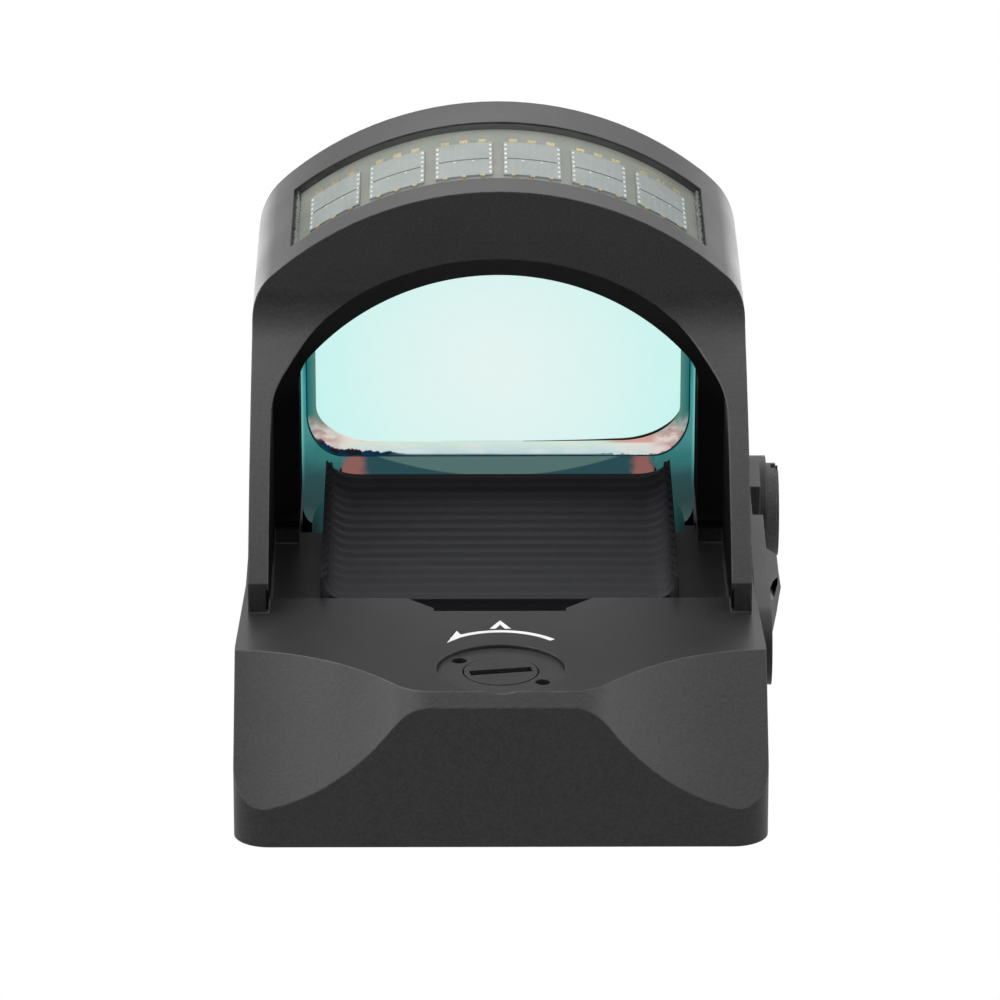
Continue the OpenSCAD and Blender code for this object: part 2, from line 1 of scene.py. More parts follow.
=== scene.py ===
import bpy, bmesh, math
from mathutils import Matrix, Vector


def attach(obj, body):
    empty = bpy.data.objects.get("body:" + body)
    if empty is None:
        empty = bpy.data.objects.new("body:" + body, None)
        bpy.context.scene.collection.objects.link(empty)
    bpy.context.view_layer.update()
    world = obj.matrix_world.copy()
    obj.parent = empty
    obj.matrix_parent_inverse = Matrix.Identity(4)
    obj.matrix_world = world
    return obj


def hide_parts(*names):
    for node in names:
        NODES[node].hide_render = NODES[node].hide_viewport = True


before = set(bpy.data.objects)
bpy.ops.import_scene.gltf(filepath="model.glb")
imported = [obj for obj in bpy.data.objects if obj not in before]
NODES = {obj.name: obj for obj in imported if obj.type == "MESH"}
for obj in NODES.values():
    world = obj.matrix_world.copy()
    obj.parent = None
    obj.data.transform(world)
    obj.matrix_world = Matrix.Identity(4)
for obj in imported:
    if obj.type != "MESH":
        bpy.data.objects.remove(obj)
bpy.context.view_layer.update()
MM = 0.001
scene = bpy.context.scene

# ---------------------------------------------------------------- node helpers


def srgb(r, g, b):
    """Screen colour 0-255 to the linear value the renderer works in."""
    return tuple(c / 12.92 if c <= 0.04045 else ((c + 0.055) / 1.055) ** 2.4
                 for c in (r / 255, g / 255, b / 255))


class Tree:
    """A node tree being written. The helpers take and return sockets or plain numbers."""

    def __init__(self, tree, coord):
        self.tree = tree
        self.coord = self.new("ShaderNodeTexCoord").outputs[coord]

    def new(self, kind, **values):
        """Add a node; a value is one of its properties, or an input with _ for its spaces."""
        node = self.tree.nodes.new(kind)
        for key, value in values.items():
            if hasattr(node, key):
                setattr(node, key, value)
            else:
                node.inputs[key.replace("_", " ")].default_value = value
        return node

    def link(self, a, b):
        self.tree.links.new(a, b)

    def put(self, value, socket):
        """Give an input a link, a colour or a number."""
        if isinstance(value, tuple):
            socket.default_value = (*value, 1)
        elif isinstance(value, (int, float)):
            socket.default_value = value
        else:
            self.link(value, socket)

    def split(self):
        """The coordinate as three plain numbers, in metres."""
        sep = self.new("ShaderNodeSeparateXYZ")
        self.link(self.coord, sep.inputs[0])
        return [sep.outputs[a] for a in "XYZ"]

    def axes(self):
        """The coordinate as three plain numbers, in millimetres."""
        return [self.math("DIVIDE", v, MM) for v in self.split()]

    def math(self, op, a, b=None):
        node = self.new("ShaderNodeMath", operation=op)
        self.put(a, node.inputs[0])
        if b is not None:
            self.put(b, node.inputs[1])
        return node.outputs[0]

    def product(self, first, *rest):
        for value in rest:
            first = self.math("MULTIPLY", first, value)
        return first

    def rest_of(self, value):
        """1 minus the value."""
        return self.math("SUBTRACT", 1.0, value)

    def range(self, value, lo, hi, a, b):
        """Straight line from a at lo to b at hi, held beyond them."""
        node = self.new("ShaderNodeMapRange", From_Min=lo, From_Max=hi, To_Min=a, To_Max=b)
        self.link(value, node.inputs["Value"])
        return node.outputs["Result"]

    def above(self, value, edge, soft=0.15):
        """0 below the edge, 1 above it, over a soft band."""
        node = self.new("ShaderNodeMapRange", interpolation_type="SMOOTHSTEP",
                        From_Min=edge - soft, From_Max=edge + soft)
        self.link(value, node.inputs["Value"])
        return node.outputs["Result"]

    def below(self, value, edge, soft=0.15):
        return self.rest_of(self.above(value, edge, soft))

    def ramp(self, fac, stops):
        node = self.new("ShaderNodeValToRGB")
        marks = node.color_ramp.elements
        while len(marks) < len(stops):
            marks.new(0.5)
        for mark, (place, c) in zip(marks, stops):
            mark.position = place
            mark.color = (*c, 1) if isinstance(c, tuple) else (c, c, c, 1)
        self.link(fac, node.inputs["Fac"])
        return node.outputs["Color"]

    def mix(self, fac, a, b):
        node = self.new("ShaderNodeMix", data_type="RGBA")
        for index, value in ((0, fac), (6, a), (7, b)):
            self.put(value, node.inputs[index])
        return node.outputs[2]

    def noise(self, scale, detail=3.0, rough=0.5, stretch=None):
        """Noise over the object, scale in features per millimetre."""
        node = self.new("ShaderNodeTexNoise", Scale=scale / MM, Detail=detail, Roughness=rough)
        source = self.coord
        if stretch:
            mapping = self.new("ShaderNodeMapping", Scale=stretch)
            self.link(source, mapping.inputs["Vector"])
            source = mapping.outputs["Vector"]
        self.link(source, node.inputs["Vector"])
        return node.outputs["Fac"]

    def wave(self, scale, a, b, detail=4, stretch=None):
        """Noise spread between the values a and b."""
        return self.range(self.noise(scale, detail, stretch=stretch), 0.3, 0.7, a, b)


class Look(Tree):
    """A material: a node tree with a principled shader and an output."""

    def __init__(self, name):
        self.mat = bpy.data.materials.new(name)
        self.mat.use_nodes = True
        super().__init__(self.mat.node_tree, "Object")
        self.bsdf = self.tree.nodes["Principled BSDF"]
        self.out = self.tree.nodes["Material Output"]

    def set(self, **values):
        """Give inputs of the principled shader a link, a colour or a number."""
        for key, value in values.items():
            self.put(value, self.bsdf.inputs[key.replace("_", " ")])

    def bevel(self, radius_mm):
        """Normal as if edges were rounded by the radius."""
        return self.new("ShaderNodeBevel", samples=4, Radius=radius_mm * MM).outputs["Normal"]

    def bump(self, height, depth_mm, strength=1.0, edge_mm=0.0):
        """Normal with bumps of the given depth, over edges rounded by edge_mm."""
        node = self.new("ShaderNodeBump", Strength=strength, Distance=depth_mm * MM)
        self.link(height, node.inputs["Height"])
        if edge_mm:
            self.link(self.bevel(edge_mm), node.inputs["Normal"])
        return node.outputs["Normal"]

    def edge_mask(self, radius_mm):
        """1 on sharp edges, 0 on flats: how far the rounded normal leaves the true one."""
        dot = self.new("ShaderNodeVectorMath", operation="DOT_PRODUCT")
        self.link(self.bevel(radius_mm), dot.inputs[0])
        self.link(self.new("ShaderNodeNewGeometry").outputs["Normal"], dot.inputs[1])
        return self.range(dot.outputs["Value"], 0.995, 0.86, 0.0, 1.0)

    def ray(self, kind):
        """1 for rays of this kind, such as Camera or Glossy."""
        return self.new("ShaderNodeLightPath").outputs["Is %s Ray" % kind]

    def blend(self, fac, a, b):
        """Show shader a, going over to shader b where fac is 1."""
        node = self.new("ShaderNodeMixShader")
        for socket, value in zip(node.inputs, (fac, a.outputs[0], b.outputs[0])):
            self.link(value, socket)
        self.link(node.outputs[0], self.out.inputs["Surface"])


# ---------------------------------------------------------------- materials

# lighter edge colour: partly rubbed metal, partly a painted edge highlight
EDGE_WEAR_AND_HIGHLIGHT = (0.16, 0.16, 0.165)
# flat black for the painted shade inside the hood
SHADE_BLACK = (0.004, 0.004, 0.004)


def anodised(name, dark, light, rough, grain=0.8, edge=0.14, edge_lightening=0.5):
    """Blasted and anodised aluminium: fine grain, mottled sheen, slightly rubbed edges that also carry a
    painted edge highlight.
    """
    n = Look(name)
    fine = n.noise(14, 2)
    base = n.mix(n.wave(0.35, 0.0, 1.0), dark, light)
    speckle = n.range(n.noise(6, 2, 0.7), 0.35, 0.65, 0.0, 0.5)
    base = n.mix(speckle, base, tuple(2.2 * c for c in light))
    patches = n.range(n.noise(1.1, 5), 0.36, 0.56, 0.15 * edge_lightening, edge_lightening)
    sheen = n.math("ADD", n.range(fine, 0.2, 0.8, rough - 0.05, rough + 0.05), n.wave(0.16, -0.03, 0.03, 3))
    # edges go lighter in patches: partly rubbed, partly a painted edge highlight
    n.set(Base_Color=n.mix(n.product(n.edge_mask(edge), patches), base, EDGE_WEAR_AND_HIGHLIGHT),
          Roughness=sheen, IOR=1.5, Normal=n.bump(fine, 0.006, grain, edge))
    return n


def hood_shade_mask(n):
    """1 on the parts of the housing that get painted shade: flat black inside the hood, where shade falls.
    """
    arc_y, arc_z, arc_r = 25.8, -22.8, 49.0  # side profile of the hood, in the YZ plane
    roof_y, deck_y, deck_z = 5.0, -7.9, 9.2  # rear edge of the hood at the roof and at the deck
    tunnel_z, tunnel_r, wall_x = 8.7, 16.6, 13.25
    x, y, z = n.axes()
    up = n.math("SUBTRACT", z, arc_z)
    drop = n.math("SQRT", n.math("MAXIMUM", n.math("SUBTRACT", arc_r ** 2, n.product(up, up)), 0.0))
    edge_y = n.math("MINIMUM", n.math("SUBTRACT", arc_y, drop), roof_y)
    on_deck = n.below(z, deck_z, 0.05)
    edge_y = n.math("ADD", n.product(edge_y, n.rest_of(on_deck)), n.product(on_deck, deck_y))
    over = n.math("SUBTRACT", z, tunnel_z)
    reach = n.math("SQRT", n.math("ADD", n.product(x, x), n.product(over, over)))
    return n.product(n.above(n.math("SUBTRACT", y, edge_y), 0.35, 0.1),
                     n.below(reach, tunnel_r, 0.08), n.below(n.math("ABSOLUTE", x), wall_x, 0.04),
                     n.below(y, 15.4, 0.2), n.above(z, 8.5, 0.2), n.below(z, 18.6, 3.0))


def housing_look():
    """The anodised housing, with painted shade inside the hood as a flat black coat."""
    n = anodised("anodised_housing", (0.014, 0.014, 0.015), (0.018, 0.018, 0.019), 0.34)
    shade_coat = n.new("ShaderNodeBsdfPrincipled", Base_Color=(*SHADE_BLACK, 1), Roughness=0.9,
                  Specular_IOR_Level=0.05)
    n.link(n.bump(n.noise(8, 4), 0.01, 0.8), shade_coat.inputs["Normal"])
    # painted shade: the flat black coat takes over inside the hood
    n.blend(hood_shade_mask(n), n.bsdf, shade_coat)
    return n


def metal(name, colour, rough, grain=0.3, stretch=None, edge=0.05, scale=9):
    n = Look(name)
    fine = n.noise(scale, 3, stretch=stretch)
    n.set(Base_Color=n.mix(n.wave(0.8, 0.0, 1.0), colour, tuple(c * 0.72 for c in colour)),
          Roughness=n.range(fine, 0.2, 0.8, rough - 0.08, rough + 0.1),
          Metallic=1.0, Normal=n.bump(fine, 0.004, grain, edge))
    return n


def plastic(name, colour, rough, grain=0.35, scale=10, spec=0.5, edge=0.06, tint=0.8):
    n = Look(name)
    fine = n.noise(scale, 3)
    n.set(Base_Color=n.mix(n.wave(0.6, 0.0, 1.0), colour, tuple(c * tint for c in colour)),
          Roughness=n.range(fine, 0.2, 0.8, rough - 0.06, rough + 0.08),
          Specular_IOR_Level=spec, Normal=n.bump(fine, 0.005, grain, edge))
    return n


def clear_body(n, tint, sheen, facing, veil):
    """Finish a see-through look: a tinted body with a sheen that grows towards its grazing side."""
    clear = n.new("ShaderNodeBsdfTransparent")
    n.link(tint, clear.inputs["Color"])
    weight = n.new("ShaderNodeLayerWeight", Blend=facing).outputs["Facing"]
    n.blend(n.range(weight, 0.2, 1.0, *veil), clear, sheen)
    return n


def coated_glass(name):
    """Coated glass: tints the light mint, more so towards its rim. Reflections see it plain grey."""
    n = Look(name)
    x, _, z = n.axes()
    over = n.math("SUBTRACT", z, 15.5)
    away = n.math("SQRT", n.math("ADD", n.product(x, x), n.product(over, over)))
    smear = n.noise(0.12, 5, 0.6)
    away = n.math("ADD", away, n.range(smear, 0.3, 0.7, -0.8, 0.8))
    mint = n.ramp(n.range(away, 1.5, 12.5, 0.0, 1.0),
                  [(0.0, (0.885, 0.958, 0.945)), (0.45, (0.84, 0.958, 0.942)),
                   (0.8, (0.775, 0.958, 0.94)), (1.0, (0.70, 0.95, 0.935))])
    sheen = n.new("ShaderNodeBsdfGlossy", Color=(0.75, 0.95, 1.0, 1))
    n.link(n.range(smear, 0.45, 0.75, 0.02, 0.08), sheen.inputs["Roughness"])
    n.link(n.bump(n.noise(0.6, 4), 0.0005, 0.2), sheen.inputs["Normal"])
    return clear_body(n, n.mix(n.ray("Camera"), (0.86, 0.86, 0.86), mint), sheen, 0.5, (0.01, 0.12))


def clear_window(name):
    """Clear resin over the solar cells, with a thin uneven sheen."""
    n = Look(name)
    film = n.noise(0.5, 4)
    sheen = n.new("ShaderNodeBsdfGlossy")
    n.link(n.range(film, 0.3, 0.7, 0.12, 0.3), sheen.inputs["Roughness"])
    n.link(n.bump(n.noise(2.5, 3), 0.004, 0.5), sheen.inputs["Normal"])
    tint = n.mix(n.range(film, 0.3, 0.7, 0.0, 1.0), (0.95, 0.965, 0.94), (0.98, 0.985, 0.97))
    return clear_body(n, tint, sheen, 0.4, (0.02, 0.10))


def solar_cell(name):
    """Thin film cell: pale blue grey, partly painted reflection, lighter to the left as painted light, with
    fine collector lines along Y.
    """
    n = Look(name)
    x = n.axes()[0]
    lines = n.math("LESS_THAN", n.math("FRACT", n.product(x, 2.4)), 0.14)
    # random mottle plus painted light that grows lighter towards the left
    mottle_and_side_light = n.math("ADD", n.wave(0.35, -0.25, 0.25), n.range(x, -12.0, 12.0, 0.75, 0.25))
    body = n.mix(mottle_and_side_light, (0.235, 0.26, 0.29), (0.335, 0.355, 0.37))
    n.set(Base_Color=n.mix(n.product(lines, 0.12), body, (0.6, 0.62, 0.64)),
          Roughness=n.range(n.noise(3, 2), 0.2, 0.8, 0.3, 0.48), Normal=n.bump(n.noise(4, 2), 0.004, 0.3))
    return n


def painted_glass_light(name, colour, strength=0.9):
    """Painted light in the glass edge, glowing though no lamp: shows its own colour to the eye, dim grey to
    reflections.
    """
    n = Look(name)
    n.set(Emission_Color=n.mix(n.ray("Camera"), (0.15, 0.15, 0.155), colour(n)),
          Emission_Strength=strength, Base_Color=(0.01, 0.015, 0.015), Roughness=0.25,
          Specular_IOR_Level=0.3, Normal=n.bump(n.noise(3, 3), 0.003, 0.4))
    return n


BLACK = anodised("anodised_black", (0.014, 0.014, 0.015), (0.018, 0.018, 0.019), 0.34)
HOUSING = housing_look()
TRAY = anodised("anodised_tray", (0.014, 0.014, 0.015), (0.019, 0.019, 0.02), 0.38)
STEEL = anodised("black_oxide_steel", (0.014, 0.014, 0.015), (0.022, 0.022, 0.023), 0.4, 0.35, 0.06)
BOSS = anodised("phosphated_screw", (0.035, 0.035, 0.036), (0.06, 0.06, 0.06), 0.5, 1.2, 0.06, 0.4)
ALUMINIUM = metal("machined_aluminium", (0.72, 0.73, 0.75), 0.32, 0.4, (1, 8, 1))
WIRE = metal("spring_wire", (0.6, 0.6, 0.58), 0.3)
GOLD = metal("gold_flash", (0.83, 0.66, 0.32), 0.28)
NICKEL = metal("nickel_can", (0.72, 0.71, 0.68), 0.24, 0.25)
SWITCH = metal("stamped_can", (0.62, 0.62, 0.61), 0.35)
MOULDED = plastic("moulded_black", (0.024, 0.025, 0.028), 0.5)
RIBBED = plastic("ribbed_black", (0.019, 0.0195, 0.024), 0.58, 0.6, 9, 0.4)
# near-black matt of the baffle tongue: painted shade of the notch
SHADED_MATT = plastic("matt_black_painted_shade", (0.005, 0.005, 0.006), 0.9, 0.6, 9, 0.06)
RUBBER = plastic("button_rubber", (0.02, 0.02, 0.02), 0.62, 0.6, 7)
SEALANT = plastic("sealant", (0.012, 0.012, 0.012), 0.4, 0.6, 3)
GLUE = plastic("clear_glue", (0.10, 0.105, 0.10), 0.25, 0.9, 2.5, tint=0.3)
BOARD = plastic("solder_mask", (0.03, 0.2, 0.1), 0.35, 0.3, 4)
CHIP = plastic("chip_black", (0.03, 0.03, 0.03), 0.55)
DIE = plastic("led_die", (0.7, 0.16, 0.12), 0.2)
SMOKED = plastic("smoked_window", (0.006, 0.006, 0.008), 0.12, 0.1, 2)
WHITE = plastic("paint_fill", (0.9, 0.9, 0.89), 0.55, 0.5, 12)
SUBSTRATE = plastic("panel_film", (0.215, 0.225, 0.205), 0.4, 0.4, 3)
GLASS = coated_glass("coated_glass")
WINDOW = clear_window("panel_window")
CELL = solar_cell("solar_cell")

LOOKS = {
    "housing": HOUSING, "bottom_cover": BLACK, "battery_tray": TRAY,
    "lens": GLASS, "lens_seal": SEALANT, "solar_substrate": SUBSTRATE, "solar_cells": CELL,
    "solar_window": WINDOW, "deck_arrow": WHITE, "elevation_screw": STEEL, "elevation_ring": STEEL,
    "windage_screw": STEEL, "windage_ring": STEEL, "tray_screw": BOSS, "cover_screws": STEEL,
    "elevation_carriage": ALUMINIUM, "windage_slider": ALUMINIUM, "elevation_spring": WIRE,
    "emitter_carrier": MOULDED, "led_emitter": DIE, "emitter_window": SMOKED,
    "glare_baffle": RIBBED, "main_board": BOARD, "button_board": BOARD, "board_chips": CHIP,
    "tray_seal": SEALANT, "cover_gasket": SEALANT, "battery": NICKEL, "contact_plus": GOLD,
    "contact_minus": GOLD, "button_up": RUBBER, "button_down": RUBBER, "button_switches": SWITCH,
}
for name, look in LOOKS.items():
    materials = NODES[name].data.materials
    materials.clear()
    materials.append(look.mat)

# ---------------------------------------------------------------- mesh helpers


def piece(name, shape, look, smooth=False):
    """Add a piece that rides on the body, from vertices in millimetres and faces."""
    verts, faces = shape
    me = bpy.data.meshes.new(name)
    me.from_pydata([(x * MM, y * MM, z * MM) for x, y, z in verts], [], faces)
    me.materials.append(look.mat)
    if smooth:
        me.polygons.foreach_set("use_smooth", [True] * len(me.polygons))
    o = bpy.data.objects.new(name, me)
    scene.collection.objects.link(o)
    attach(o, "body")
    return o


def merged(shapes):
    verts, faces = [], []
    for v, f in shapes:
        faces += [tuple(i + len(verts) for i in face) for face in f]
        verts += v
    return verts, faces


def bar(sections):
    """Solid through four-cornered sections, closed at both ends."""
    verts = [corner for section in sections for corner in section]
    last = 4 * (len(sections) - 1)
    faces = [(b + i, b + (i + 1) % 4, b + 4 + (i + 1) % 4, b + 4 + i)
             for b in range(0, last, 4) for i in range(4)]
    return verts, faces + [(3, 2, 1, 0), tuple(last + i for i in range(4))]


def plate(front, back):
    """Solid between two outlines with the same number of points."""
    n = len(front)
    faces = [tuple(range(n)), tuple(reversed(range(n, 2 * n)))]
    return front + back, faces + [(i, n + i, n + (i + 1) % n, (i + 1) % n) for i in range(n)]


# ---------------------------------------------------------------- ribbed baffle

BAFFLE_BACK, BAFFLE_FRONT = -6.3, 12.65  # ends in Y
BAFFLE_HALF, BAFFLE_SHELL = 10.12, 0.1  # half width inside the walls, wall thickness
BAFFLE_BASE = 7.65
FLOOR_BACK, FLOOR_FRONT = 8.45, 9.1  # height of the floor at both ends
CORNER_BACK, CORNER_FRONT = 1.25, 1.9  # radius between floor and wall
WALL_TOP, WALL_RISE = 9.95, 0.2
RIBS, RIB_ON_FLOOR, RIB_ON_WALL = 15, 0.085, 0.3
# place along one pitch and share of the full height, for each row of a rib
RIB_PROFILE = ((0.0, 0.0), (0.16, 0.75), (0.3, 1.0), (0.46, 0.85), (0.62, 0.0))


def baffle_section(y, h):
    """Cross-section at y from left to right, pushed inwards by h times the rib height."""
    t = (y - BAFFLE_BACK) / (BAFFLE_FRONT - BAFFLE_BACK)
    floor = FLOOR_BACK + (FLOOR_FRONT - FLOOR_BACK) * t
    r = CORNER_BACK + (CORNER_FRONT - CORNER_BACK) * t
    top = WALL_TOP + WALL_RISE * t
    rise = min(r, top - floor - 0.1)
    points = [(0.0, floor + h * RIB_ON_FLOOR), (4.0, floor + h * RIB_ON_FLOOR)]
    for i in range(11):
        a = math.radians(9 * i)
        push = h * (RIB_ON_FLOOR + (RIB_ON_WALL - RIB_ON_FLOOR) * math.sin(a))
        points.append((BAFFLE_HALF - r + (r - push) * math.sin(a),
                       floor + rise - (rise - push * 0.7) * math.cos(a)))
    points += [(BAFFLE_HALF - h * RIB_ON_WALL, top - 0.15 * (1 - h)),
               (BAFFLE_HALF + BAFFLE_SHELL, top - 0.2)]
    return [(-x, z) for x, z in reversed(points[1:])] + points


def baffle():
    """U-shaped channel: every rib runs across the floor, round the corner and up the walls."""
    pitch = (BAFFLE_FRONT - BAFFLE_BACK) / RIBS
    rows = [(BAFFLE_BACK + (k + share) * pitch, h) for k in range(RIBS) for share, h in RIB_PROFILE]
    rows.append((BAFFLE_FRONT, 0.0))
    sections = [baffle_section(y, h) for y, h in rows]
    n, last, outer = len(sections[0]), len(rows) - 1, BAFFLE_HALF + BAFFLE_SHELL
    verts = [(x, y, z) for (y, _), section in zip(rows, sections) for x, z in section]
    faces = [(a, a + 1, a + n + 1, a + n) for j in range(last) for a in range(j * n, j * n + n - 1)]
    for edge, x in ((0, -outer), (n - 1, outer)):
        base = len(verts)
        verts += [(x, y, BAFFLE_BASE) for y, _ in rows]
        faces += [(j * n + edge, (j + 1) * n + edge, base + j + 1, base + j) for j in range(last)]
    for j in (0, last):
        low = len(verts)
        verts += [(outer, rows[j][0], BAFFLE_BASE), (-outer, rows[j][0], BAFFLE_BASE)]
        faces.append(tuple(j * n + i for i in range(n)) + (low, low + 1))
    low = len(verts)
    verts += [(-outer, BAFFLE_BACK, BAFFLE_BASE), (outer, BAFFLE_BACK, BAFFLE_BASE),
              (outer, BAFFLE_FRONT, BAFFLE_BASE), (-outer, BAFFLE_FRONT, BAFFLE_BASE)]
    faces.append((low, low + 3, low + 2, low + 1))
    o = piece("baffle_ribs", (verts, faces), RIBBED, smooth=True)
    bm = bmesh.new()
    bm.from_mesh(o.data)
    bmesh.ops.remove_doubles(bm, verts=bm.verts, dist=1e-7)
    bmesh.ops.recalc_face_normals(bm, faces=bm.faces)
    for e in bm.edges:
        e.smooth = len(e.link_faces) == 2 and e.calc_face_angle(0) < math.radians(50)
    bm.to_mesh(o.data)
    bm.free()
    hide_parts("glare_baffle")


def baffle_tongue():
    """Flat lip of the baffle that fills the notch in the deck; its near-black matt paints the shade in the
    notch.
    """
    half = [(7.1, BAFFLE_BACK), (7.1, -7.5), (5.2, -7.56), (3.9, -8.9)]
    edge = [(-x, y) for x, y in half] + list(reversed(half))
    shape = plate([(x, y, FLOOR_BACK - 0.15) for x, y in edge], [(x, y, BAFFLE_BASE) for x, y in edge])
    piece("baffle_tongue", shape, SHADED_MATT)


baffle()
baffle_tongue()

# ---------------------------------------------------------------- solar details

ARCH_Z = 9.7  # centre of the roof arch
CELLS, CELL_PITCH, CELL_R = 6, 12.0, 19.2  # count, degrees apart, radius of their top


def on_arch(angle, radius, y):
    a = math.radians(angle)
    return (radius * math.sin(a), y, ARCH_Z + radius * math.cos(a))


def arch_patch(mid, half, r0, r1, y0, y1):
    """Thin block on the roof arch, from mid - half to mid + half degrees."""
    return bar([[on_arch(a, r0, y0), on_arch(a, r1, y0), on_arch(a, r1, y1), on_arch(a, r0, y1)]
                for a in (mid - half, mid + half)])


def solar_contacts():
    """Gold contact pads at both ends of each cell, and white rivets on it."""
    below, proud = CELL_R - 0.13, CELL_R + 0.006
    pads, dots = [], []
    for i in range(CELLS):
        mid = (i + 0.5 - CELLS / 2) * CELL_PITCH
        for off in (-3.3, 0.0, 3.3):
            pads.append(arch_patch(mid + off, 0.75, below, proud, 15.55, 16.1))
            pads.append(arch_patch(mid + off, 0.4, below, CELL_R + 0.005, 9.1, 9.28))
        for side in (-4.66, 4.66):
            for k in range(7):
                y = 9.6 + k * 0.86
                dots.append(arch_patch(mid + side, 0.2, CELL_R, proud, y, y + 0.34))
        for off in (-1.65, 1.65):
            dots.append(arch_patch(mid + off, 0.18, CELL_R, proud, 11.9, 12.1))
    piece("solar_pads", merged(pads), GOLD)
    piece("solar_dots", merged(dots), WHITE)


def solar_glue():
    """Uneven bead of glue that fills each end of the panel recess."""
    y0, y1, steps = 7.85, 18.3, 30
    beads = []
    for s in (-1, 1):
        sections = []
        for k in range(steps + 1):
            y = y0 + (y1 - y0) * k / steps
            w = 0.10 * math.sin(k * 2.3) + 0.07 * math.sin(k * 5.1 + s)
            h = 0.09 * math.sin(k * 3.7 + 1.3 * s) + 0.05 * math.sin(k * 8.9)
            sections.append([on_arch(s * (38.55 + w), 18.7, y),
                             on_arch(s * (38.5 + w), 19.22 + h, y),
                             on_arch(s * (37.75 + w * 0.5), 19.32 + h, y),
                             on_arch(s * (37.6 + w), 18.7, y)])
        beads.append(bar(sections))
    piece("solar_glue", merged(beads), GLUE, smooth=True)


solar_contacts()
solar_glue()

# ---------------------------------------------------------------- lens edge, in painted light

LENS_Y, LENS_Z, LENS_TILT = 13.0, 8.0, math.tan(math.radians(8))
# lower part of the polished bevel: half width, bottom, corner radii
BEVEL_HALF, BEVEL_BOTTOM, BEVEL_RX, BEVEL_RZ = 11.28, 10.38, 2.2, 2.8
BEVEL_TOP = 18.0


def on_lens(x, z, lift):
    """Point on the eye-side face of the tilted lens, lifted off it towards the eye."""
    return (x, LENS_Y - (z - LENS_Z) * LENS_TILT - lift, z)


def u_outline(half, bottom, rx, rz, bow=0.0, steps=14):
    """Open U from the left top, round both lower corners, to the right top."""
    left = [(-half, BEVEL_TOP)]
    for i in range(steps + 1):
        a = math.radians(90 * i / steps)
        left.append((-half + rx * (1 - math.cos(a)), bottom + rz * (1 - math.sin(a))))
    left += [((-half + rx) * (1 - k / 5), bottom) for k in range(1, 6)]
    line = left + [(-x, z) for x, z in reversed(left[:-1])]
    return [(x, z + bow * min(1.0, abs(x) / half) ** 2) for x, z in line]


def ribbon(outer, inner, lift, thick=0.08):
    """Solid strip on the lens between two outlines with the same number of points."""
    return bar([[on_lens(ox, oz, lift), on_lens(ix, iz, lift + 0.05),
                 on_lens(ix, iz, lift - thick), on_lens(ox, oz, lift - thick)]
                for (ox, oz), (ix, iz) in zip(outer, inner)])


def lens_plate(outline, lift=0.1, thick=0.08):
    return plate([on_lens(x, z, lift) for x, z in outline],
                 [on_lens(x, z, lift - thick) for x, z in outline])


def bevel_tone(n):
    """Painted light of the polished bevel: pale along the bottom, teal up the sides, coral and a painted
    dark band at its ends.
    """
    x, _, z = n.axes()
    ax = n.math("ABSOLUTE", x)
    # height over the lower edge of the strip, which is flat and then an ellipse round the corner
    u = n.math("DIVIDE", n.math("SUBTRACT", ax, BEVEL_HALF - BEVEL_RX), BEVEL_RX)
    u = n.math("MINIMUM", n.math("MAXIMUM", u, 0.0), 1.0)
    rise = n.product(BEVEL_RZ, n.math("SQRT", n.rest_of(n.product(u, u))))
    over = n.math("SUBTRACT", z, n.math("SUBTRACT", BEVEL_BOTTOM + BEVEL_RZ, rise))

    pale = n.mix(n.range(over, 0.1, 0.8, 0.0, 1.0), srgb(196, 220, 228), srgb(216, 238, 222))
    streaks = n.range(n.noise(0.7, 4, stretch=(1, 1, 3)), 0.45, 0.65, 0.0, 0.5)
    pale = n.mix(streaks, pale, srgb(232, 240, 236))
    warm = n.product(n.above(ax, 7.6, 1.6), n.range(n.noise(0.8, 4), 0.35, 0.6, 0.35, 0.9))
    pale = n.mix(warm, pale, srgb(238, 226, 220))
    clouds = n.range(n.noise(1.2, 4, stretch=(1, 1, 2)), 0.4, 0.6, 0.2, 0.9)
    pale = n.mix(n.product(n.above(ax, 9.5, 0.8), clouds), pale, srgb(196, 150, 144))

    sides = n.mix(n.range(ax, 10.8, 11.25, 0.0, 1.0), srgb(88, 138, 124), srgb(30, 112, 116))
    up = n.above(n.math("ADD", z, n.wave(0.9, -0.5, 0.5)), 12.3, 1.0)
    tone = n.mix(up, pale, sides)
    ember = n.product(n.above(x, 6.6, 0.8), n.below(x, 9.3, 0.3), n.above(over, 0.82, 0.06), 0.6)
    tone = n.mix(ember, tone, srgb(206, 104, 86))

    # painted dark band along the lower edge: deep at the left corner, a thin line at the right
    right = n.above(x, 0.0, 0.5)
    left_depth = n.product(n.rest_of(right), n.range(ax, 5.4, 9.0, 0.07, 0.42), n.below(ax, 10.7, 0.3))
    ragged = n.range(n.noise(1.4, 5, 0.7, (1, 1, 0.5)), 0.3, 0.7, -0.16, 0.16)
    depth = n.math("ADD", left_depth, n.product(right, 0.05))
    depth = n.math("ADD", depth, n.product(ragged, n.above(ax, 6.2, 0.6)))
    dark_band = n.product(n.below(n.math("SUBTRACT", over, depth), 0.02, 0.05),
                    n.rest_of(n.product(n.above(z, 11.6, 0.4), 0.8)), n.range(x, -6.5, -5.0, 1.0, 0.7))
    navy = n.mix(n.range(n.noise(1.8, 3), 0.4, 0.6, 0.0, 1.0), srgb(24, 26, 32), srgb(6, 48, 84))
    return n.mix(dark_band, tone, navy)


def line_tone(n):
    return n.ramp(n.noise(1.5, 4), [(0.35, srgb(6, 40, 48)), (0.65, srgb(4, 78, 84))])


def gap_shadow_tone(n):
    return n.ramp(n.noise(1.5, 4), [(0.35, srgb(8, 12, 14)), (0.65, srgb(20, 40, 38))])


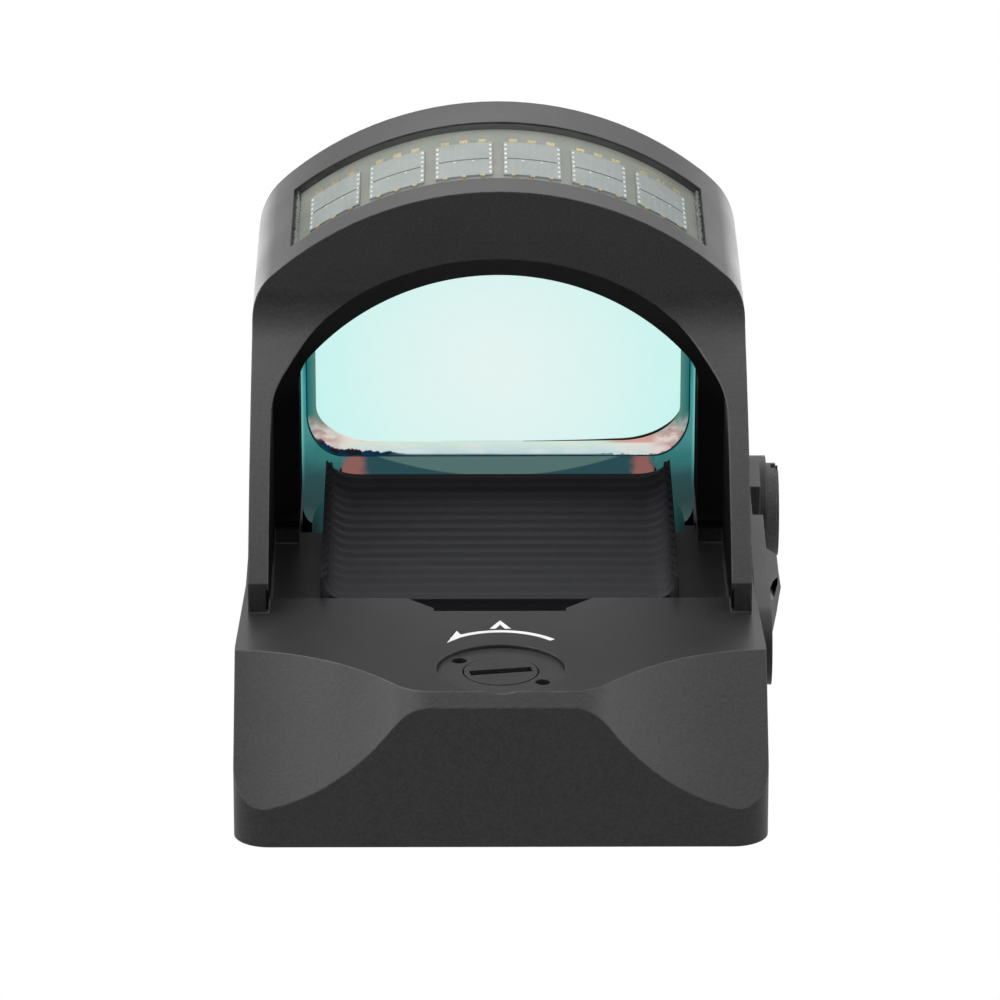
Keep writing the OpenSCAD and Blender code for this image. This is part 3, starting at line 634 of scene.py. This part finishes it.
def side_tone(n):
    """Painted light in the teal sides of the lens: a painted highlight at the rim, darker towards the foot.
    """
    x, _, z = n.axes()
    wavy = n.math("ADD", z, n.wave(0.5, -0.4, 0.4, 3))
    base = n.ramp(n.range(wavy, 5.0, 18.0, 0.0, 1.0),
                  [(0.0, srgb(70, 95, 92)), (0.17, srgb(46, 70, 72)), (0.3, srgb(46, 82, 84)),
                   (0.42, srgb(54, 124, 121)), (0.5, srgb(74, 145, 146)), (0.75, srgb(66, 152, 152)),
                   (1.0, srgb(40, 110, 112))])
    # painted highlight along the rim of the sides
    rim = n.product(n.above(n.math("ABSOLUTE", x), 11.55, 0.12), n.above(z, 10.2, 2.6), 0.85)
    return n.mix(rim, base, srgb(128, 208, 202))


def corner_tone(n):
    """Painted light of the dark teal lobes beside the baffle, a little lighter near the middle."""
    x, _, z = n.axes()
    base = n.ramp(n.range(z, 4.5, 10.0, 0.0, 1.0),
                  [(0.0, srgb(18, 34, 33)), (0.5, srgb(24, 46, 45)), (1.0, srgb(34, 78, 78))])
    outer = n.above(n.math("ABSOLUTE", x), 10.55, 0.3)
    return n.mix(outer, n.mix(0.45, base, srgb(40, 80, 78)), base)


def toe_tone(n):
    """Painted light in the foot of the lens: light teal under an arc, darker beside it, coral at both ends.
    """
    x, _, z = n.axes()
    arc = n.math("SUBTRACT", z, n.math("ADD", 8.95, n.product(x, x, 0.0252)))
    teal = n.mix(n.above(arc, 0.0, 0.06), srgb(42, 78, 85), srgb(86, 115, 114))
    ragged = n.math("ADD", n.math("ABSOLUTE", x), n.wave(0.8, -0.35, 0.35, 3))
    coral = n.mix(n.above(ragged, 9.2, 0.3), srgb(146, 98, 94), srgb(60, 46, 46))
    return n.mix(n.above(ragged, 7.95, 0.3), teal, coral)


def lens_bevel():
    """Painted light of the bevel, a thin painted shadow line outside it and a painted shadow in the gap
    that opens over its right half.
    """
    outer = u_outline(BEVEL_HALF, BEVEL_BOTTOM, BEVEL_RX, BEVEL_RZ)
    around = u_outline(BEVEL_HALF + 0.08, BEVEL_BOTTOM - 0.1, BEVEL_RX, BEVEL_RZ)
    inner = u_outline(10.77, 11.26, 3.4, 2.3, 0.14)
    piece("lens_bevel", ribbon(outer, inner, 0.22), painted_glass_light("bevel_light", bevel_tone))
    piece("lens_bevel_line", ribbon(around, outer, 0.2), painted_glass_light("bevel_shadow", line_tone, 0.6))
    low = [(x, z) for x, z in inner if x > 0.2 and z < 13.4]
    width = [0.02 + 0.15 * min(1.0, x / 8.5) ** 2 * max(0.0, min(1.0, (13.2 - z) / 1.2)) for x, z in low]
    high = [(x - 0.6 * w * max(0.0, (z - 11.4) / 2), z + w) for (x, z), w in zip(low, width)]
    piece("lens_bevel_gap", ribbon(low, high, 0.16, 0.04), painted_glass_light("bevel_gap_shadow", gap_shadow_tone, 0.6))


def lens_sides():
    turn = [math.radians(10 * i) for i in range(1, 9)]
    band = [(11.75, BEVEL_TOP), (11.75, 7.8)]
    band += [(11.0 + 0.75 * math.cos(a), 7.8 - 2.0 * math.sin(a)) for a in turn]
    band += [(10.2, 5.85), (9.4, 9.4), (8.6, 10.6), (11.0, 13.0), (11.0, BEVEL_TOP)]
    left, right = [(-x, z) for x, z in band], list(reversed(band))
    shape = merged([lens_plate(left), lens_plate(right)])
    piece("lens_sides", shape, painted_glass_light("side_light", side_tone))


def lens_toe():
    toe = [(-9.3, 10.45), (-9.3, 8.8), (9.3, 8.8), (9.3, 10.45)]
    piece("lens_toe", lens_plate(toe), painted_glass_light("toe_light", toe_tone))


def lens_corners():
    """Rounded lobes of painted light, for the glass seen beside the walls of the baffle."""
    y, x0, mid_z, bulge, up, down = 8.2, 10.05, 7.3, 0.95, 1.8, 2.3
    turn = [math.radians(15 * i) for i in range(13)]
    lobe = [(x0 + bulge * math.sin(a), mid_z + (up if math.cos(a) > 0 else down) * math.cos(a))
            for a in turn]
    shapes = [plate([(s * x, y, z) for x, z in lobe], [(s * x, y + 0.1, z) for x, z in lobe])
              for s in (-1, 1)]
    piece("lens_corners", merged(shapes), painted_glass_light("corner_light", corner_tone))


lens_bevel()
lens_sides()
lens_toe()
lens_corners()

# ---------------------------------------------------------------- studio


def studio_floor():
    """White to the eye; for other rays dimmer, but bright behind the object in reflections."""
    n = Look("studio_floor")
    behind = n.product(n.ray("Glossy"), n.above(n.axes()[1], 40.0, 20.0))
    seen, bounced = n.new("ShaderNodeEmission"), n.new("ShaderNodeEmission")
    n.link(n.range(behind, 0.0, 1.0, 0.5, 2.0), bounced.inputs["Strength"])
    n.blend(n.math("MAXIMUM", n.ray("Camera"), n.ray("Transmission")), bounced, seen)
    bpy.ops.mesh.primitive_plane_add(size=6, location=(0, 0, -0.0002))
    floor = bpy.context.object
    floor.name = "floor"
    floor.data.materials.append(n.mat)


def studio_light():
    """White to the eye; the light itself comes from above and behind, and from both sides."""
    world = bpy.data.worlds.new("studio")
    scene.world = world
    world.use_nodes = True
    world.node_tree.nodes.clear()
    n = Tree(world.node_tree, "Generated")
    x, y, z = n.split()
    toward = n.new("ShaderNodeVectorMath", operation="DOT_PRODUCT")
    toward.inputs[1].default_value = (-0.12, 0.62, 0.78)
    n.link(n.coord, toward.inputs[0])
    glow = n.ramp(n.range(toward.outputs["Value"], -1.0, 1.0, 0.0, 1.0),
                  [(0.0, 0.14), (0.3, 0.2), (0.44, 0.4), (0.62, 0.75), (0.8, 1.1), (1.0, 1.3)])
    glow = n.math("ADD", n.product(x, x, 0.9), glow)
    low_behind = n.product(n.above(y, 0.5, 0.2), n.below(z, 0.22, 0.14))
    glow = n.product(glow, n.rest_of(n.product(low_behind, 0.88)))
    path = n.new("ShaderNodeLightPath")
    seen = n.math("MAXIMUM", path.outputs["Is Camera Ray"], path.outputs["Is Transmission Ray"])
    background, out = n.new("ShaderNodeBackground"), n.new("ShaderNodeOutputWorld")
    n.link(n.mix(seen, glow, (1.0, 1.0, 1.0)), background.inputs["Color"])
    n.link(background.outputs[0], out.inputs["Surface"])

    key = bpy.data.lights.new("key", "AREA")
    key.energy = 0.9
    key.size = 0.35
    place("key", key, Vector((-0.25, 0.05, 0.55)), Vector((0, 0, 0.01)))


def place(name, data, spot, aim):
    """Put a light or camera at a spot and point it at the aim."""
    o = bpy.data.objects.new(name, data)
    scene.collection.objects.link(o)
    o.location = spot
    o.rotation_euler = (aim - spot).to_track_quat("-Z", "Y").to_euler()
    return o


def studio_camera():
    """Behind the object and a little above it, nearly square to its rear."""
    elevation, azimuth, distance = math.radians(20.3), math.radians(-0.3), 0.420
    aim = Vector((0.00005, 0, 0.01213))
    cam = bpy.data.cameras.new("camera")
    cam.lens = 262.0
    cam.sensor_width = 36.0
    cam.clip_start = 0.01
    away = Vector((math.cos(elevation) * math.sin(azimuth),
                   -math.cos(elevation) * math.cos(azimuth), math.sin(elevation)))
    scene.camera = place("camera", cam, aim + distance * away, aim)


studio_floor()
studio_light()
studio_camera()
scene.view_settings.view_transform = "Standard"
